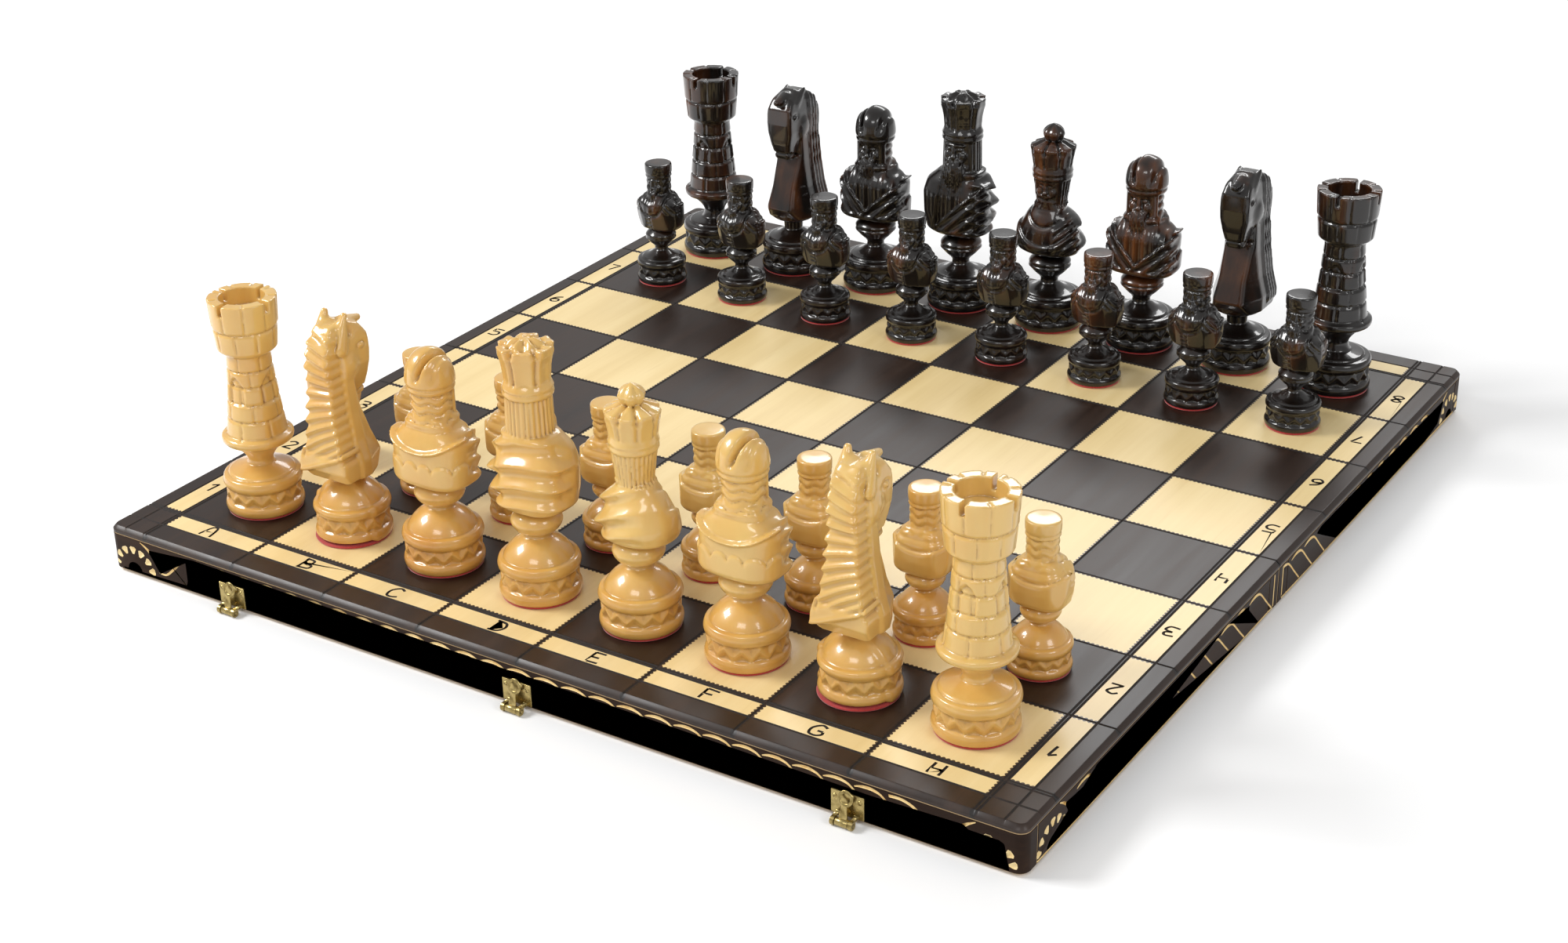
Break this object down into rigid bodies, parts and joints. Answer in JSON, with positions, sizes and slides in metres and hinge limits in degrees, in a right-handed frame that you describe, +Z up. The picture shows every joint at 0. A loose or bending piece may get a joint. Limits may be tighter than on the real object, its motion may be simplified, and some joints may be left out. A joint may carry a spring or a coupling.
{
  "type": "chess set with board",
  "caption": "Folding wooden box board, hinged across the middle and closed by brass clasps, with turned and carved men shaped as busts, towers and horses.",
  "frame": {"origin": "on the ground under the middle of the fold, the board opened out flat", "axes": "+X from the A file to the H file, +Y from the white side with the clasps to the black side, +Z up"},
  "size_m": [0.575, 0.599, 0.1723],
  "materials": {
    "board_wood": "satin",
    "wall_wood": "satin",
    "brass": "satin",
    "steel": "satin",
    "white_lacquer": "gloss",
    "black_lacquer": "gloss"
  },
  "bodies": {
    "near_half": {"near_top_panel": "board_wood", "near_front_rail": "wall_wood", "near_left_rail": "wall_wood", "near_right_rail": "wall_wood", "near_hinge_rail": "wall_wood", "left_hinge_near_leaf": "brass", "left_hinge_pin": "steel", "right_hinge_near_leaf": "brass", "right_hinge_pin": "steel", "left_clasp_plate": "brass", "left_clasp_pin": "steel", "middle_clasp_plate": "brass", "middle_clasp_pin": "steel", "right_clasp_plate": "brass", "right_clasp_pin": "steel"},
    "far_half": {"far_top_panel": "board_wood", "far_back_rail": "wall_wood", "far_left_rail": "wall_wood", "far_right_rail": "wall_wood", "far_hinge_rail": "wall_wood", "left_hinge_far_leaf": "brass", "right_hinge_far_leaf": "brass", "left_clasp_catch": "brass", "middle_clasp_catch": "brass", "right_clasp_catch": "brass"},
    "left_hasp": {"left_clasp_hasp": "brass"},
    "middle_hasp": {"middle_clasp_hasp": "brass"},
    "right_hasp": {"right_clasp_hasp": "brass"},
    "white_rook_a": {"white_rook_a": "white_lacquer"},
    "white_pawn_a": {"white_pawn_a": "white_lacquer"},
    "black_pawn_a": {"black_pawn_a": "black_lacquer"},
    "black_rook_a": {"black_rook_a": "black_lacquer"},
    "white_knight_b": {"white_knight_b": "white_lacquer"},
    "white_pawn_b": {"white_pawn_b": "white_lacquer"},
    "black_pawn_b": {"black_pawn_b": "black_lacquer"},
    "black_knight_b": {"black_knight_b": "black_lacquer"},
    "white_bishop_c": {"white_bishop_c": "white_lacquer"},
    "white_pawn_c": {"white_pawn_c": "white_lacquer"},
    "black_pawn_c": {"black_pawn_c": "black_lacquer"},
    "black_bishop_c": {"black_bishop_c": "black_lacquer"},
    "white_king_d": {"white_king_d": "white_lacquer"},
    "white_pawn_d": {"white_pawn_d": "white_lacquer"},
    "black_pawn_d": {"black_pawn_d": "black_lacquer"},
    "black_king_d": {"black_king_d": "black_lacquer"},
    "white_queen_e": {"white_queen_e": "white_lacquer"},
    "white_pawn_e": {"white_pawn_e": "white_lacquer"},
    "black_pawn_e": {"black_pawn_e": "black_lacquer"},
    "black_queen_e": {"black_queen_e": "black_lacquer"},
    "white_bishop_f": {"white_bishop_f": "white_lacquer"},
    "white_pawn_f": {"white_pawn_f": "white_lacquer"},
    "black_pawn_f": {"black_pawn_f": "black_lacquer"},
    "black_bishop_f": {"black_bishop_f": "black_lacquer"},
    "white_knight_g": {"white_knight_g": "white_lacquer"},
    "white_pawn_g": {"white_pawn_g": "white_lacquer"},
    "black_pawn_g": {"black_pawn_g": "black_lacquer"},
    "black_knight_g": {"black_knight_g": "black_lacquer"},
    "white_rook_h": {"white_rook_h": "white_lacquer"},
    "white_pawn_h": {"white_pawn_h": "white_lacquer"},
    "black_pawn_h": {"black_pawn_h": "black_lacquer"},
    "black_rook_h": {"black_rook_h": "black_lacquer"}
  },
  "joints": [
    {"name": "board_fold", "type": "hinge", "parent": "near_half", "child": "far_half", "pos_m": [0, 0, 0.0016], "axis": [-1, 0, 0], "range_deg": [0, 180]},
    {"name": "left_clasp_swing", "type": "hinge", "parent": "near_half", "child": "left_hasp", "pos_m": [-0.195, -0.2971, 0.0024], "axis": [1, 0, 0], "range_deg": [0, 206]},
    {"name": "middle_clasp_swing", "type": "hinge", "parent": "near_half", "child": "middle_hasp", "pos_m": [0, -0.2971, 0.0024], "axis": [1, 0, 0], "range_deg": [0, 206]},
    {"name": "right_clasp_swing", "type": "hinge", "parent": "near_half", "child": "right_hasp", "pos_m": [0.195, -0.2971, 0.0024], "axis": [1, 0, 0], "range_deg": [0, 206]},
    {"name": "white_rook_a_lift", "type": "slide", "parent": "near_half", "child": "white_rook_a", "axis": [0, 0, 1], "range_m": [0, 0.15]},
    {"name": "white_pawn_a_lift", "type": "slide", "parent": "near_half", "child": "white_pawn_a", "axis": [0, 0, 1], "range_m": [0, 0.15]},
    {"name": "black_pawn_a_lift", "type": "slide", "parent": "far_half", "child": "black_pawn_a", "axis": [0, 0, 1], "range_m": [0, 0.15]},
    {"name": "black_rook_a_lift", "type": "slide", "parent": "far_half", "child": "black_rook_a", "axis": [0, 0, 1], "range_m": [0, 0.15]},
    {"name": "white_knight_b_lift", "type": "slide", "parent": "near_half", "child": "white_knight_b", "axis": [0, 0, 1], "range_m": [0, 0.15]},
    {"name": "white_pawn_b_lift", "type": "slide", "parent": "near_half", "child": "white_pawn_b", "axis": [0, 0, 1], "range_m": [0, 0.15]},
    {"name": "black_pawn_b_lift", "type": "slide", "parent": "far_half", "child": "black_pawn_b", "axis": [0, 0, 1], "range_m": [0, 0.15]},
    {"name": "black_knight_b_lift", "type": "slide", "parent": "far_half", "child": "black_knight_b", "axis": [0, 0, 1], "range_m": [0, 0.15]},
    {"name": "white_bishop_c_lift", "type": "slide", "parent": "near_half", "child": "white_bishop_c", "axis": [0, 0, 1], "range_m": [0, 0.15]},
    {"name": "white_pawn_c_lift", "type": "slide", "parent": "near_half", "child": "white_pawn_c", "axis": [0, 0, 1], "range_m": [0, 0.15]},
    {"name": "black_pawn_c_lift", "type": "slide", "parent": "far_half", "child": "black_pawn_c", "axis": [0, 0, 1], "range_m": [0, 0.15]},
    {"name": "black_bishop_c_lift", "type": "slide", "parent": "far_half", "child": "black_bishop_c", "axis": [0, 0, 1], "range_m": [0, 0.15]},
    {"name": "white_king_d_lift", "type": "slide", "parent": "near_half", "child": "white_king_d", "axis": [0, 0, 1], "range_m": [0, 0.15]},
    {"name": "white_pawn_d_lift", "type": "slide", "parent": "near_half", "child": "white_pawn_d", "axis": [0, 0, 1], "range_m": [0, 0.15]},
    {"name": "black_pawn_d_lift", "type": "slide", "parent": "far_half", "child": "black_pawn_d", "axis": [0, 0, 1], "range_m": [0, 0.15]},
    {"name": "black_king_d_lift", "type": "slide", "parent": "far_half", "child": "black_king_d", "axis": [0, 0, 1], "range_m": [0, 0.15]},
    {"name": "white_queen_e_lift", "type": "slide", "parent": "near_half", "child": "white_queen_e", "axis": [0, 0, 1], "range_m": [0, 0.15]},
    {"name": "white_pawn_e_lift", "type": "slide", "parent": "near_half", "child": "white_pawn_e", "axis": [0, 0, 1], "range_m": [0, 0.15]},
    {"name": "black_pawn_e_lift", "type": "slide", "parent": "far_half", "child": "black_pawn_e", "axis": [0, 0, 1], "range_m": [0, 0.15]},
    {"name": "black_queen_e_lift", "type": "slide", "parent": "far_half", "child": "black_queen_e", "axis": [0, 0, 1], "range_m": [0, 0.15]},
    {"name": "white_bishop_f_lift", "type": "slide", "parent": "near_half", "child": "white_bishop_f", "axis": [0, 0, 1], "range_m": [0, 0.15]},
    {"name": "white_pawn_f_lift", "type": "slide", "parent": "near_half", "child": "white_pawn_f", "axis": [0, 0, 1], "range_m": [0, 0.15]},
    {"name": "black_pawn_f_lift", "type": "slide", "parent": "far_half", "child": "black_pawn_f", "axis": [0, 0, 1], "range_m": [0, 0.15]},
    {"name": "black_bishop_f_lift", "type": "slide", "parent": "far_half", "child": "black_bishop_f", "axis": [0, 0, 1], "range_m": [0, 0.15]},
    {"name": "white_knight_g_lift", "type": "slide", "parent": "near_half", "child": "white_knight_g", "axis": [0, 0, 1], "range_m": [0, 0.15]},
    {"name": "white_pawn_g_lift", "type": "slide", "parent": "near_half", "child": "white_pawn_g", "axis": [0, 0, 1], "range_m": [0, 0.15]},
    {"name": "black_pawn_g_lift", "type": "slide", "parent": "far_half", "child": "black_pawn_g", "axis": [0, 0, 1], "range_m": [0, 0.15]},
    {"name": "black_knight_g_lift", "type": "slide", "parent": "far_half", "child": "black_knight_g", "axis": [0, 0, 1], "range_m": [0, 0.15]},
    {"name": "white_rook_h_lift", "type": "slide", "parent": "near_half", "child": "white_rook_h", "axis": [0, 0, 1], "range_m": [0, 0.15]},
    {"name": "white_pawn_h_lift", "type": "slide", "parent": "near_half", "child": "white_pawn_h", "axis": [0, 0, 1], "range_m": [0, 0.15]},
    {"name": "black_pawn_h_lift", "type": "slide", "parent": "far_half", "child": "black_pawn_h", "axis": [0, 0, 1], "range_m": [0, 0.15]},
    {"name": "black_rook_h_lift", "type": "slide", "parent": "far_half", "child": "black_rook_h", "axis": [0, 0, 1], "range_m": [0, 0.15]}
  ]
}
